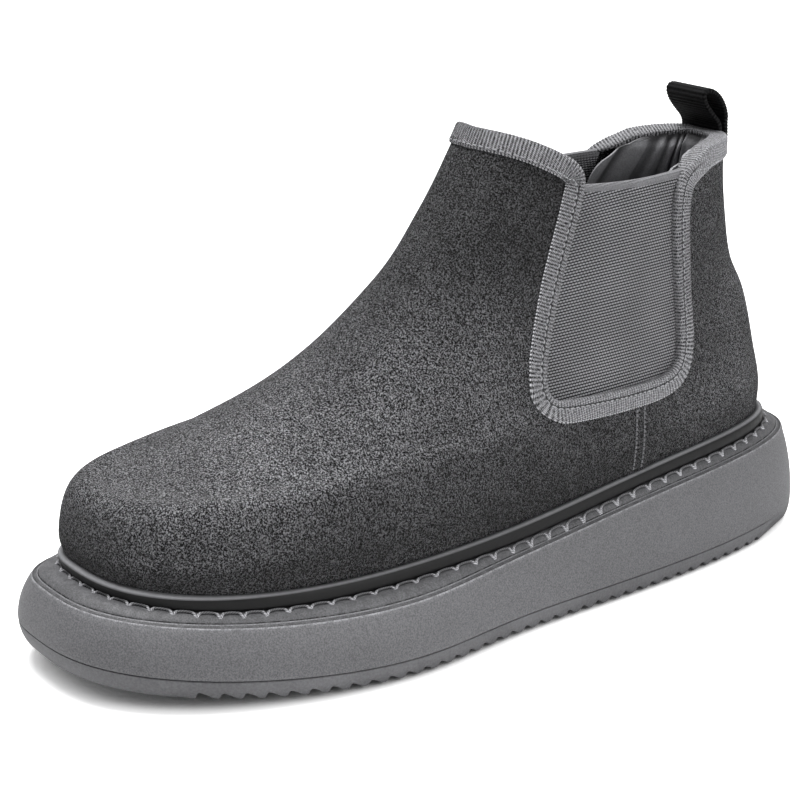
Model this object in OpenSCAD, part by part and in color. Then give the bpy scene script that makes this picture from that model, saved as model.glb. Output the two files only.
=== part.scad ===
// Chelsea boot, left foot, built as sole unit, upper panels, linings and trims.
// Millimetres. Toe towards -Y, outer side of the foot towards +X, ground at Z = 0.
// The origin is on the ground under the middle of the sole.

/* [Sole] */
// Pitch of the ripple tread
tread_pitch = 6.5; // [6:0.5:12]
// Depth of the ripple tread
tread_depth = 2.2; // [1:0.1:3]
// Height of the toe tip above the ground
toe_spring = 7; // [6:0.5:8]
// Height of the joint between outsole and midsole
outsole_height = 6.6; // [5.6:0.2:7.6]
// Length of one stitch pitch around the sole
sole_stitch_pitch = 8; // [6:0.5:12]

/* [Upper] */
// Thickness of the suede
suede_thickness = 1.4; // [1:0.1:1.5]
// Thickness of the lining leather
lining_thickness = 0.8; // [0.6:0.1:1.2]
// Width of the ribbed edge binding
binding_width = 6.4; // [5:0.2:8]
// Pitch of the stitches that hold the binding
binding_stitch_pitch = 4; // [3:0.2:6]
// Height of the rand strip around the foot of the upper
rand_height = 4.8; // [4:0.2:6]

/* [Pull tab] */
// Width of the pull tab webbing
tab_width = 20; // [14:1:24]
// Thickness of the pull tab webbing
tab_thickness = 1.6; // [1.2:0.1:1.8]

/* [Node] */
// Sub-part to draw

/* [Hidden] */

SUEDE = [0.33, 0.33, 0.35];
TRIM = [0.52, 0.52, 0.53];
FOAM = [0.46, 0.46, 0.48];

half_length = 151;
glue = 0.1;

// depths below the outer face of the upper
mid_top = -suede_thickness - 0.5;
mid_bottom = mid_top - 1.5;
lining_top = mid_bottom - 0.5;
lining_bottom = lining_top - lining_thickness;

// ------------------------------------------------------------------ upper form
// One row per cross-section, from the feather line up to the top:
// front y, front z, back y, back z, outer half width as a + b cos + c cos^2,
// inner half width the same way, squareness, sideways set of the front.
RINGS = [
  [-134.0, 29.5, 136.0, 36.0, 46, 12.9, 11, 35.5, 6, 9.6, 0.78, 0],
  [-137.5, 41.0, 138.0, 52.0, 47.5, 13.5, 9, 37.5, 6, 8, 0.76, 0],
  [-132.0, 57.0, 136.0, 66.5, 46.0, 12.0, 4, 38, 5, 4.5, 0.78, 0],
  [-111.5, 59.5, 131.0, 87.0, 42, 8.0, 2, 37, 4, 3, 0.82, 2],
  [-65.0, 76.0, 123.5, 101.0, 38, 4.0, 0, 35, 3, 0, 0.84, 3],
  [-27.0, 101.5, 118.5, 116.0, 35, 1.0, 0, 32, 1, 0, 0.80, 3],
  [-5.0, 128.5, 115.5, 131.0, 33, 0.0, 0, 25, 0, 0, 0.76, 2],
  [11.0, 156.0, 115.0, 144.0, 31, 0.0, 0, 17, 0, 0, 0.74, 0]];
LAST = len(RINGS) - 1;

// Edge of the suede beside the gore, seen from the side, as [y, z] from the
// front topline corner down, along the bottom and up to the back collar.
GORE_EDGE = [
  [31.5, 148.0], [34.8, 145.2], [36.8, 141.5], [35.5, 136.0], [27.9, 117.0],
  [19.8, 97.0], [14.6, 82.0], [13.8, 74.5], [17.2, 70.2], [27.0, 69.4],
  [50.0, 68.2], [67.0, 68.2], [75.4, 69.9], [79.4, 75.2], [80.2, 86.0],
  [78.8, 98.0], [76.2, 117.0], [76.6, 130.0], [79.4, 137.0], [85.0, 140.6],
  [91.0, 142.8], [97.0, 145.4]];
// Ankle crease that parts the front, and the gaps left under and over it
crease = 0.7145;
crease_gap = 0.0022;
shaft_gap = 0.0075;
gore_floor = 0.318;

function blend(a, b, t) = a + (b - a) * t;
function unit(a) = a / norm(a);
function soft(t) = t / sqrt(1 + t * t);
function ring_row(k) = k < 0 ? 2 * RINGS[0] - RINGS[1]
  : k > LAST ? 2 * RINGS[LAST] - RINGS[LAST - 1] : RINGS[k];
function spline(a, b, c, d, f) = 0.5 * (2 * b + (c - a) * f
  + (2 * a - 5 * b + 4 * c - d) * f * f + (3 * b - a - 3 * c + d) * f * f * f);
function ring(v) = let (t = v * LAST, i = max(0, min(LAST - 1, floor(t))))
  spline(ring_row(i - 1), ring_row(i), ring_row(i + 1), ring_row(i + 2), t - i);
// Point of the outer face: u in degrees from the toe round the outer side,
// v from 0 at the feather line to 1 at the front topline.
function face(u, v) = let (q = ring(v), c = cos(u), s = sin(u), m = (1 - c) / 2,
  w = s >= 0 ? q[4] + q[5] * c + q[6] * c * c : q[7] + q[8] * c + q[9] * c * c)
  [sign(s) * pow(abs(s), q[10]) * w + q[11] * pow(max(c, 0), 2),
   blend(q[0], q[2], m), blend(q[1], q[3], m)];
function normal(u, v) = unit(cross(face(u + 2, v) - face(u - 2, v),
  face(u, v + 0.012) - face(u, v - 0.012)));
function layer(u, v, d) = face(u, v) + normal(u, v) * d;
// u and v of the point of the outer side that shows at [y, z] from the side
function side_gap(y, z, v) = let (q = ring(v), m = (y - q[0]) / (q[2] - q[0]))
  blend(q[1], q[3], max(0, min(1, m))) - z;
function find_v(y, z, lo, hi, n) = let (mid = (lo + hi) / 2) n == 0 ? mid
  : side_gap(y, z, mid) > 0 ? find_v(y, z, lo, mid, n - 1) : find_v(y, z, mid, hi, n - 1);
function from_side(p) = let (v = find_v(p[0], p[1], -0.1, 1.1, 18), q = ring(v),
  m = (p[0] - q[0]) / (q[2] - q[0])) [acos(1 - 2 * max(0, min(1, m))), v];

function arc_points(p, n) = [for (i = [0:len(p) - 3], k = [0:n - 1])
  let (t = k / n, a = (p[i] + p[i + 1]) / 2, c = (p[i + 1] + p[i + 2]) / 2)
  blend(blend(a, p[i + 1], t), blend(p[i + 1], c, t), t)];
raw_curve = [for (p = arc_points(GORE_EDGE, 3)) from_side(p)];
raw_table = [for (p = raw_curve) if (p[0] < 90) [p[1], p[0]]];
break_gap = 0.004;
// the same curve with two points set either side of the ankle crease
gore_curve = concat([for (p = raw_curve) if (p[0] < 90 && p[1] > crease + 0.008) p],
  [for (v = [crease + break_gap, crease - break_gap]) [lookup(v, raw_table), v]],
  [for (p = raw_curve) if (p[0] >= 90 || p[1] < crease - 0.008) p]);
edge_start = gore_curve[0];
edge_end = gore_curve[len(gore_curve) - 1];
// topline from the middle of the front to the gore corner, as [u, v]
function top_front(u) = 1 - (1 - edge_start[1]) * pow(u / edge_start[0], 3.2);
// back collar, from the gore corner to the middle of the back
function top_back(u) = edge_end[1]
  + (1.006 - edge_end[1]) * (1 - pow((180 - u) / (180 - edge_end[0]), 3));
steps_front = 12;
steps_back = 13;
edge_path = concat(
  [for (i = [0:steps_front - 1]) let (u = edge_start[0] * i / steps_front) [u, top_front(u)]],
  gore_curve,
  [for (i = [1:steps_back]) let (u = blend(edge_end[0], 180, i / steps_back)) [u, top_back(u)]]);
path_last = len(edge_path) - 1;

// lowest point of the front half of the gore edge
path_low = max([for (i = [0:path_last]) if (edge_path[i][0] < 100 && edge_path[i][1] > 0.325) i]);
front_table = [for (p = edge_path) if (p[0] < 101 && p[1] > 0.325) [p[1], p[0]]];
back_table = [for (p = edge_path) if (p[0] > 101.5 && p[1] > 0.31
  && face(p[0], p[1])[1] > 62) [p[1], p[0]]];
function front_edge(v) = lookup(v, front_table);
function back_edge(v) = lookup(v, back_table);
// side seam between vamp and quarter
function seam_y(z) = 58 - 0.08 * (62 - z);
function find_seam(v, lo, hi, n) = let (mid = (lo + hi) / 2, p = face(mid, v)) n == 0 ? mid
  : p[1] > seam_y(p[2]) ? find_seam(v, lo, mid, n - 1) : find_seam(v, mid, hi, n - 1);
function seam(v) = find_seam(v, 80, 150, 14);

// ------------------------------------------------------------------- sole form
function spring(y) = toe_spring * pow(max(0, min(1.2, (-y - 45) / 105)), 2);
function ledge_z(y) = 28.7 + 7.4 * soft((y - 27) / 62) + spring(y);
rise = 2.9;
function seat_z(y) = ledge_z(y) + rise;
function outer_half(c) = 63.5 + 10.5 * soft((c - 0.2) / 0.25);
function inner_half(c) = 50 + 5 * soft((c - 0.15) / 0.3) - 2 * pow(1 - c * c, 2);
// outline point at angle a from the toe, drawn in by t
function outline(a, t) = let (c = cos(a), s = sin(a))
  [sign(s) * pow(abs(s), 0.72) * (s >= 0 ? outer_half(c) : inner_half(c)) * (1 - t / 58),
   -half_length * c * (1 - t / half_length)];
function outline3(a, t, lift) = let (p = outline(a, t)) [p[0], p[1], lift(p[1])];

// height of the foot of the upper on its seat
function find_base(u, h, lo, hi, n) = let (mid = (lo + hi) / 2, p = face(u, mid)) n == 0 ? mid
  : p[2] > seat_z(p[1]) + h ? find_base(u, h, lo, mid, n - 1) : find_base(u, h, mid, hi, n - 1);
function base_v(u, h) = find_base(u, h, -0.2, 0.3, 14);

// ------------------------------------------------------------- solid builders
// Sheet between two depths over a grid of [u, v] rows
module sheet(rows, top, bottom) {
  m = len(rows);
  n = len(rows[0]);
  k = m * n;
  outer = [for (r = rows) for (q = r) layer(q[0], q[1], top)];
  inner = [for (r = rows) for (q = r) layer(q[0], q[1], bottom)];
  skin = [for (i = [0:m - 2], j = [0:n - 2]) let (a = i * n + j) each
    [[a, a + n + 1, a + 1], [a, a + n, a + n + 1]]];
  low = [for (j = [0:n - 2]) each [[j, j + 1, j + 1 + k], [j, j + 1 + k, j + k]]];
  high = [for (j = [0:n - 2]) let (d = (m - 1) * n + j) each
    [[d + 1, d, d + k], [d + 1, d + k, d + 1 + k]]];
  left = [for (i = [0:m - 2]) let (a = i * n) each
    [[a + n, a, a + k], [a + n, a + k, a + n + k]]];
  right = [for (i = [0:m - 2]) let (b = i * n + n - 1) each
    [[b, b + n, b + n + k], [b, b + n + k, b + k]]];
  polyhedron(concat(outer, inner), concat(skin,
    [for (f = skin) [f[0] + k, f[2] + k, f[1] + k]], low, high, left, right));
}

// Solid through loops of equal count, closed across at both ends
module stack(loops) {
  m = len(loops);
  n = len(loops[0]);
  top = (m - 1) * n;
  wall = [for (i = [0:m - 2], j = [0:n - 1]) let (a = i * n, e = (j + 1) % n) each
    [[a + j, a + n + j, a + n + e], [a + j, a + n + e, a + e]]];
  across = [for (j = [0:n / 2 - 1]) let (p = j, q = j + 1, r = n - j - 1, s = (n - j) % n) each
    concat(q == r ? [] : [[p, q, r]], p == s ? [] : [[p, r, s]])];
  polyhedron([for (l = loops) each l], concat(wall,
    across, [for (f = across) [f[0] + top, f[2] + top, f[1] + top]]));
}

// Solid through equal sections, as a closed ring or with ends. The ends are a
// fan from point 0 unless triangles for the first end are given in cap.
module run(sections, closed, cap = []) {
  m = len(sections);
  k = len(sections[0]);
  wall = [for (i = [0:closed ? m - 1 : m - 2], j = [0:k - 1])
    let (a = i * k, b = ((i + 1) % m) * k, e = (j + 1) % k) each
    [[a + j, b + e, b + j], [a + j, a + e, b + e]]];
  first_end = cap != [] ? cap : [for (j = [1:k - 2]) [0, j + 1, j]];
  ends = closed ? [] : concat(first_end,
    [for (t = first_end) let (b = (m - 1) * k) [b + t[0], b + t[2], b + t[1]]]);
  polyhedron([for (s = sections) each s], concat(wall, ends));
}

// ------------------------------------------------------------------ sole parts
loop_angles = [for (i = [0:95]) i * 3.75];
tooth_first = -floor(125 / tread_pitch);
tooth_last = floor(115 / tread_pitch);
land = 1.2;
// [y, height above the tread plane] along the tread
tread_line = concat(
  [for (i = [0:7]) [-half_length * cos(i * 4.1), 0.6 - 0.6 * i / 7]],
  [for (i = [tooth_first:tooth_last], k = [0:2]) [i * tread_pitch
    + (k == 0 ? -land / 2 : k == 1 ? land / 2 : land / 2 + 1.3),
    k == 2 ? tread_depth : 0]],
  [[(tooth_last + 1) * tread_pitch - land / 2, 0]],
  [for (i = [5:-1:0]) [half_length * cos(i * 4.6), 3.2 - 3.2 * i / 5]]);

function tread_loop(t, lift) = let (n = len(tread_line)) concat(
  [for (i = [0:n - 1]) let (q = tread_line[i], p = outline(acos(-q[0] / half_length), t))
    [p[0], p[1], lift(i, p[1])]],
  [for (i = [n - 2:-1:1]) let (q = tread_line[i], p = outline(-acos(-q[0] / half_length), t))
    [p[0], p[1], lift(i, p[1])]]);

module outsole() {
  color(FOAM) stack([
    tread_loop(2.6, function (i, y) spring(y) + tread_line[i][1]),
    tread_loop(-0.5, function (i, y) spring(y) + outsole_height - 2.4),
    tread_loop(-1, function (i, y) spring(y) + outsole_height)]);
}

module midsole() {
  lifts = [
    [-0.9, function (y) spring(y) + outsole_height + glue],
    [-1.2, function (y) blend(spring(y) + outsole_height, ledge_z(y), 0.12)],
    [-0.5, function (y) blend(spring(y) + outsole_height, ledge_z(y), 0.4)],
    [1.0, function (y) blend(spring(y) + outsole_height, ledge_z(y), 0.7)],
    [2.7, function (y) ledge_z(y) - 1.4],
    [3.9, function (y) ledge_z(y)],
    [8.0, function (y) seat_z(y) - 0.3],
    [11.0, function (y) seat_z(y) - 0.1],
    [16.0, function (y) seat_z(y)]];
  color(FOAM) stack(concat(
    [for (l = lifts) [for (a = loop_angles) outline3(a, l[0], l[1])]],
    [[for (a = loop_angles) inside(a, -9, function (y) seat_z(y))],
     [for (a = loop_angles) inside(a, -9.6, function (y) seat_z(y) - 5)]]));
}

// point on an inner outline that follows the foot of the upper
function inside(u, d, lift) = let (p = layer(u, 0.02, d)) [p[0], p[1], lift(p[1])];
function inside_loop(count, d, lift) = [for (i = [0:count - 1]) inside(i * 360 / count, d, lift)];

module bottom_filler() {
  color([0.55, 0.42, 0.28]) stack([
    inside_loop(64, -10.4, function (y) seat_z(y) - 4.8),
    inside_loop(64, -10.4, function (y) seat_z(y) - 1.6)]);
}

shank_front = -35;
shank_back = 95;
shank_half = 7;
module shank() {
  stations = [for (i = [0:12]) blend(shank_front, shank_back, i / 12)];
  color([0.7, 0.7, 0.72]) run([for (y = stations) let (z = seat_z(y) - 1.3,
    w = shank_half * (y == shank_front || y == shank_back ? 0.6 : 1))
    [[-w, y, z], [w, y, z], [w, y, z + 1.1], [-w, y, z + 1.1]]], false);
}

module insole_board() {
  color([0.72, 0.62, 0.46]) stack([
    inside_loop(64, lining_bottom - 1.7, function (y) seat_z(y) + 0.2),
    inside_loop(64, lining_bottom - 1.7, function (y) seat_z(y) + 2.2)]);
}

module footbed() {
  color([0.2, 0.2, 0.21]) stack([
    inside_loop(64, lining_bottom - 2.6, function (y) seat_z(y) + 2.5),
    inside_loop(64, lining_bottom - 2.4, function (y) seat_z(y) + 4.5),
    inside_loop(64, lining_bottom - 3.4, function (y) seat_z(y) + 6.2)]);
}

// point on the seat, d mm out from the foot of the upper and lifted by h
function foot(u, d, h) = let (p = layer(u, base_v(u, 0.15), d)) [p[0], p[1], seat_z(p[1]) + h];

module rand() {
  color([0.2, 0.2, 0.21]) run([for (i = [0:95]) let (u = i * 3.75,
    mid = base_v(u, rand_height * 0.55), high = base_v(u, rand_height))
    [foot(u, 0.9, 0.15), foot(u, 3.2, 0.15), layer(u, mid, 3.3),
     layer(u, high, 2.1), layer(u, high, 0.9)]], true);
}

// running length of a closed line of points, then points at even pitch
function lengths(p, i = 0, sum = 0, out = []) = i >= len(p) ? out
  : lengths(p, i + 1, sum + (i + 1 < len(p) ? norm(p[i + 1] - p[i]) : 0), concat(out, [sum]));

stitch_angles = [for (i = [0:240]) i * 1.5];
stitch_gap = 4.2;
stitch_line = [for (a = stitch_angles) foot(a, stitch_gap, 0)];
stitch_run = lengths(stitch_line);
stitch_total = stitch_run[len(stitch_run) - 1];
stitch_count = floor(stitch_total / sole_stitch_pitch);
function stitch_angle(s) = lookup(s, [for (i = [0:len(stitch_run) - 1]) [stitch_run[i], stitch_angles[i]]]);

module sole_stitching() {
  thick = 0.9;
  color([0.6, 0.6, 0.6]) for (i = [0:stitch_count - 1]) {
    step = stitch_total / stitch_count;
    run([for (k = [0:2]) let (a = stitch_angle((i + 0.08 + 0.42 * k) * step),
      d = stitch_gap + (k == 1 ? 0 : 0.7))
      [foot(a, d + thick, 0.1), foot(a, d + thick, 0.1 + thick), foot(a, d, 0.1 + thick),
       foot(a, d, 0.1)]], false);
  }
}

// ----------------------------------------------------------------- upper parts
corner_levels = [for (i = [path_low:-1:0]) let (p = edge_path[i])
  if (p[1] > gore_floor + 0.004 && p[1] < 0.4) p[1]];
vamp_levels = concat([0.085, 0.13, 0.18, 0.235, 0.285, gore_floor], corner_levels,
  [0.44, 0.5, 0.56, 0.62, 0.67, 0.693, crease - crease_gap]);
function even(lo, hi, n) = [for (j = [0:n]) blend(lo, hi, j / n)];
function vamp_reach(v) = v <= gore_floor ? seam(v) - 0.3 : front_edge(v);
base_reach = seam(0.02) - 0.3;

// the first two rows follow the seat of the sole
function low_rows(from, to, n, lift, level) = [for (f = [0, 0.5])
  [for (u = even(from, to, n)) [u, blend(base_v(u, lift), level, f)]]];
function vamp_rows(n, lift) = concat(
  low_rows(-base_reach, base_reach, n, lift, vamp_levels[0]),
  [for (v = vamp_levels) [for (u = even(-vamp_reach(v), vamp_reach(v), n)) [u, v]]]);
module vamp() {
  color(SUEDE) sheet(vamp_rows(30, 0.35), 0, -suede_thickness);
}
module vamp_lining() {
  color([0.42, 0.42, 0.43]) sheet(vamp_rows(20, 1), lining_top, lining_bottom);
}

shaft_levels = concat([crease + shaft_gap, 0.7333, 0.76, 0.79, 0.83, 0.87, 0.9],
  [for (i = [12:-2:2]) let (v = edge_path[i][1]) if (v > 0.91) v]);
function shaft_rows(n) = [for (v = shaft_levels) [for (u = even(-front_edge(v), front_edge(v), n)) [u, v]]];
module vamp_shaft() {
  color(SUEDE) sheet(shaft_rows(22), 0, -suede_thickness);
}
module shaft_lining() {
  color([0.42, 0.42, 0.43]) sheet(shaft_rows(16), lining_top, lining_bottom);
}

back_levels = [for (p = edge_path) if (p[0] > 101.5 && p[1] > 0.33
  && face(p[0], p[1])[1] > 70 && p[0] < 172) p[1]];
quarter_levels = concat([0.1, 0.15, 0.2, 0.26, gore_floor, 0.3265],
  [for (i = [0:len(back_levels) - 1]) if (back_levels[i] < 0.42 || i % 2 == 0) back_levels[i]]);
function quarter_reach(v) = v <= gore_floor ? seam(v) + 0.3 : back_edge(v);
function quarter_rows(levels, n, lift) = concat(
  low_rows(seam(0.02) + 0.3, 360 - seam(0.02) - 0.3, n, lift, levels[0]),
  [for (v = levels) [for (u = even(quarter_reach(v), 360 - quarter_reach(v), n)) [u, v]]]);
module quarter() {
  color(SUEDE) sheet(quarter_rows(quarter_levels, 20, 0.35), 0, -suede_thickness);
}
module quarter_lining() {
  color([0.5, 0.5, 0.51]) sheet(quarter_rows(quarter_levels, 16, 1), lining_top, lining_bottom);
}

module toe_puff() {
  color([0.8, 0.8, 0.76]) sheet([for (i = [0:6]) [for (u = even(-52, 52, 16))
    let (b = base_v(u, 1.5)) [u, blend(b, 0.355 - 0.2 * pow(u / 52, 2), i / 6)]]],
    mid_top, mid_bottom + 0.3);
}
module heel_counter() {
  color([0.8, 0.8, 0.76]) sheet([for (i = [0:6]) [for (u = even(130, 230, 16))
    let (b = base_v(u, 1.5)) [u, blend(b, 0.4 - 0.14 * pow((u - 180) / 50, 2), i / 6)]]],
    mid_top, mid_bottom);
}
module collar_foam() {
  color([0.85, 0.84, 0.7]) sheet([for (i = [0:4]) [for (u = even(141, 219, 14))
    [u, blend(0.72, 0.93, i / 4)]]], mid_top, mid_bottom);
}

gore_allowance = 6;
module gore(side) {
  rows = [for (i = [0:8]) let (z = blend(64.5, 139, i / 8)) [for (j = [0:8])
    let (f = blend(14.6, 37.4, max(0, (z - 76) / 63)) - gore_allowance,
      b = 76 + gore_allowance, q = from_side([blend(f, b, j / 8), z]))
    [q[0], q[1]]]];
  color(TRIM) sheet(side > 0 ? rows
    : [for (r = rows) [for (j = [8:-1:0]) [-r[j][0], r[j][1]]]], mid_top, mid_bottom);
}
module gore_lateral() {
  gore(1);
}
module gore_medial() {
  gore(-1);
}

// ------------------------------------------------------------------- trims
// Direction off the suede edge, in the face, at point i of the edge path
function path_uv(i) = i < 0 ? [-edge_path[-i][0], edge_path[-i][1]]
  : i > path_last ? [360 - edge_path[2 * path_last - i][0], edge_path[2 * path_last - i][1]]
  : edge_path[i];
// [u, v] moved by w mm off the edge, positive away from the suede
function off_edge(i, w) = let (q = path_uv(i), before = path_uv(i - 1), after = path_uv(i + 1),
  su = (face(q[0] + 1, q[1]) - face(q[0] - 1, q[1])) / 2,
  sv = (face(q[0], q[1] + 0.005) - face(q[0], q[1] - 0.005)) / 0.01,
  tangent = unit(face(after[0], after[1]) - face(before[0], before[1])),
  out = unit(cross(normal(q[0], q[1]), tangent)) * w,
  a = su * su, b = su * sv, c = sv * sv, det = a * c - b * b,
  pu = su * out, pv = sv * out)
  q + [(pu * c - pv * b) / det, (pv * a - pu * b) / det];
// how far the binding turns in over the edge: all layers on the topline,
// the suede only beside the gore
function turn_in(i) = let (v = path_uv(i)[1]) v > 0.965 ? -lining_bottom + 0.3
  : v < 0.935 ? suede_thickness + 0.25
  : blend(suede_thickness + 0.25, -lining_bottom + 0.3, (v - 0.935) / 0.03);
// clearance between the suede and the ribbon on it
under = 0.3;
function binding_section(i) = let (w = -binding_width, e = off_edge(i, w), g = off_edge(i, w / 2),
  o = off_edge(i, 0.65), x = off_edge(i, 1.3), d = turn_in(i))
  [layer(e[0], e[1], under), layer(e[0], e[1], 0.9), layer(g[0], g[1], 1), layer(x[0], x[1], 0.9),
   layer(x[0], x[1], -d), layer(o[0], o[1], -d), layer(o[0], o[1], under), layer(g[0], g[1], under)];
ribbon_end = [[0, 2, 1], [0, 7, 2], [7, 3, 2], [7, 6, 3], [6, 4, 3], [6, 5, 4]];
crease_index = max([for (i = [0:path_last]) if (edge_path[i][1] > crease && edge_path[i][0] < 90) i]);

module binding_front() {
  color(TRIM) run([for (i = [-crease_index:crease_index]) binding_section(i)], false, ribbon_end);
}
module binding_back() {
  color(TRIM) run([for (i = [crease_index + 1:2 * path_last - crease_index - 1])
    binding_section(i)], false, ribbon_end);
}

path_points = [for (i = [0:path_last]) face(edge_path[i][0], edge_path[i][1])];
path_run = lengths(path_points);
path_index = [for (i = [0:path_last]) [path_run[i], i]];
function edge_at(s, w) = let (f = lookup(s, path_index), i = min(path_last - 1, floor(f)),
  a = off_edge(i, w), b = off_edge(i + 1, w)) blend(a, b, f - i);
thread = 0.35;
module edge_stitch(s, half, flip) {
  w = -binding_width + 1.5;
  a = edge_at(s - half, w - thread);
  b = edge_at(s + half, w - thread);
  c = edge_at(s + half, w + thread);
  d = edge_at(s - half, w + thread);
  corners = flip ? [for (q = [d, c, b, a]) [-q[0], q[1]]] : [a, b, c, d];
  run([[for (q = corners) layer(q[0], q[1], 1.05)],
    [for (q = corners) layer(q[0], q[1], 1.5)]], false);
}
crease_run = path_run[crease_index];
module stitches_between(from, to) {
  n = floor((to - from) / binding_stitch_pitch);
  for (i = [0:n - 1])
    for (flip = [false, true])
      edge_stitch(from + (i + 0.5) * (to - from) / n, binding_stitch_pitch * 0.3, flip);
}
module binding_stitching_front() {
  color([0.75, 0.75, 0.75]) stitches_between(1.5, crease_run - 2);
}
module binding_stitching_back() {
  color([0.75, 0.75, 0.75]) stitches_between(crease_run + 6, path_run[path_last] - 1.5);
}

module seam_stitching() {
  color([0.5, 0.5, 0.5]) for (row = [0:1], i = [0:6], flip = [false, true]) {
    v = 0.075 + i * 0.0195;
    d = row == 0 ? 1.6 : 3.8;
    low = seam(v) - d;
    high = seam(v + 0.011) - d;
    corners = [[low - 0.4, v], [low + 0.4, v], [high + 0.4, v + 0.011], [high - 0.4, v + 0.011]];
    turned = flip ? [for (k = [3:-1:0]) [-corners[k][0], corners[k][1]]] : corners;
    run([[for (q = turned) layer(q[0], q[1], 0.06)],
      [for (q = turned) layer(q[0], q[1], 0.5)]], false);
  }
}

// ------------------------------------------------------------------- pull tab
// middle line of the webbing from the outer foot over the top to the inner foot
TAB_LINE = [[116.5, 148.4], [116.7, 151.4], [114.4, 156.6], [110.9, 159.7], [107.6, 160.5],
  [105.9, 159.1], [107.0, 155.7], [110.0, 152.2], [114.6, 148.4]];
function tab_normal(i) = let (n = len(TAB_LINE) - 1,
  t = unit(TAB_LINE[min(n, i + 1)] - TAB_LINE[max(0, i - 1)])) [t[1], -t[0]];
module pull_tab() {
  h = tab_thickness / 2;
  w = tab_width / 2;
  color([0.3, 0.3, 0.31]) run([for (i = [0:len(TAB_LINE) - 1])
    let (p = TAB_LINE[i], a = p + tab_normal(i) * h, b = p - tab_normal(i) * h)
    [[-w, a[0], a[1]], [w, a[0], a[1]], [w, b[0], b[1]], [-w, b[0], b[1]]]], false);
}
tail_spread = 11;
module pull_tab_tails() {
  color([0.3, 0.3, 0.31]) sheet([for (i = [0:3]) [for (u = even(180 - tail_spread, 180 + tail_spread, 6))
    [u, blend(0.945, 0.997, i / 3)]]], mid_top, mid_bottom);
}
module pull_tab_stitching() {
  color([0.75, 0.75, 0.75]) for (x = [-0.36, -0.12, 0.12, 0.36]) {
    u = 180 - x * 34;
    corners = [[u - 0.5, 0.966], [u + 0.5, 0.966], [u + 0.5, 0.986], [u - 0.5, 0.986]];
    run([[for (q = corners) layer(q[0], q[1], 1.06)],
      [for (q = corners) layer(q[0], q[1], 1.5)]], false);
  }
}

outsole();
midsole();
rand();
sole_stitching();
shank();
bottom_filler();
insole_board();
footbed();
vamp();
vamp_shaft();
quarter();
toe_puff();
heel_counter();
collar_foam();
vamp_lining();
shaft_lining();
quarter_lining();
gore_lateral();
gore_medial();
binding_front();
binding_back();
binding_stitching_front();
binding_stitching_back();
seam_stitching();
pull_tab();
pull_tab_tails();
pull_tab_stitching();
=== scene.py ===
"""Looks of the chelsea boot: high-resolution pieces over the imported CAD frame."""
import math
import bpy
import numpy as np
from mathutils import Matrix, Vector, noise


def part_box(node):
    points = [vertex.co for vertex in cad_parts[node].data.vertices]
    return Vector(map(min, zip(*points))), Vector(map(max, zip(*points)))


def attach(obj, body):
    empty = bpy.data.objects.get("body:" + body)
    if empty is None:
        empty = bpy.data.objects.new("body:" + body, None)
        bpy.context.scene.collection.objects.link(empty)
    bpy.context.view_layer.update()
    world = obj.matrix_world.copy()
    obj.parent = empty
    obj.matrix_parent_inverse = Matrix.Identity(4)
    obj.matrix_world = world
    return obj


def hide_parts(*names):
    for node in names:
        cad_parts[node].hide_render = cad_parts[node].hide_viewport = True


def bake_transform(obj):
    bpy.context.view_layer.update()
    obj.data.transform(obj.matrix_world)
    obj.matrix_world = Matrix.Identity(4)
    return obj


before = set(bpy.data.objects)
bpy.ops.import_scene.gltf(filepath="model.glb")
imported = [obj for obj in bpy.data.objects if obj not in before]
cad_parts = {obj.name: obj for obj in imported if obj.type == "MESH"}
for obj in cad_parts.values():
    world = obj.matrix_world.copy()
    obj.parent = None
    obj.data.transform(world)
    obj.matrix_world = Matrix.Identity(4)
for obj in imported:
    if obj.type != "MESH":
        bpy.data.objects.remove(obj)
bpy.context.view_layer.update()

MM = 0.001

# ------------------------------------------------------------------ boot form
# The same form as the CAD source: one row per cross-section from the feather
# line up: front y z, back y z, outer half width a b c, inner half width a b c,
# squareness, sideways set of the front.
RINGS = np.array([
    [-134.0, 29.5, 136.0, 36.0, 46, 12.9, 11, 35.5, 6, 9.6, 0.78, 0],
    [-137.5, 41.0, 138.0, 52.0, 47.5, 13.5, 9, 37.5, 6, 8, 0.76, 0],
    [-132.0, 57.0, 136.0, 66.5, 46.0, 12.0, 4, 38, 5, 4.5, 0.78, 0],
    [-111.5, 59.5, 131.0, 87.0, 42, 8.0, 2, 37, 4, 3, 0.82, 2],
    [-65.0, 76.0, 123.5, 101.0, 38, 4.0, 0, 35, 3, 0, 0.84, 3],
    [-27.0, 101.5, 118.5, 116.0, 35, 1.0, 0, 32, 1, 0, 0.80, 3],
    [-5.0, 128.5, 115.5, 131.0, 33, 0.0, 0, 25, 0, 0, 0.76, 2],
    [11.0, 156.0, 115.0, 144.0, 31, 0.0, 0, 17, 0, 0, 0.74, 0]], float)
LAST = len(RINGS) - 1
EXTENDED = np.vstack([2 * RINGS[0] - RINGS[1], RINGS, 2 * RINGS[LAST] - RINGS[LAST - 1]])
GORE_EDGE = np.array([
    [31.5, 148.0], [34.8, 145.2], [36.8, 141.5], [35.5, 136.0], [27.9, 117.0], [19.8, 97.0], [14.6, 82.0],
    [13.8, 74.5], [17.2, 70.2], [27.0, 69.4], [50.0, 68.2], [67.0, 68.2], [75.4, 69.9], [79.4, 75.2],
    [80.2, 86.0], [78.8, 98.0], [76.2, 117.0], [76.6, 130.0], [79.4, 137.0], [85.0, 140.6], [91.0, 142.8],
    [97.0, 145.4]])
SUEDE, LINING = 1.4, 0.8
MID_TOP = -SUEDE - 0.5
MID_BOTTOM = MID_TOP - 1.5
LINING_TOP = MID_BOTTOM - 0.5
LINING_BOTTOM = LINING_TOP - LINING
BINDING = 6.4
HALF = 151.0
TOE_SPRING = 7.0
OUTSOLE = 6.6
RAND = 4.8
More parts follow.
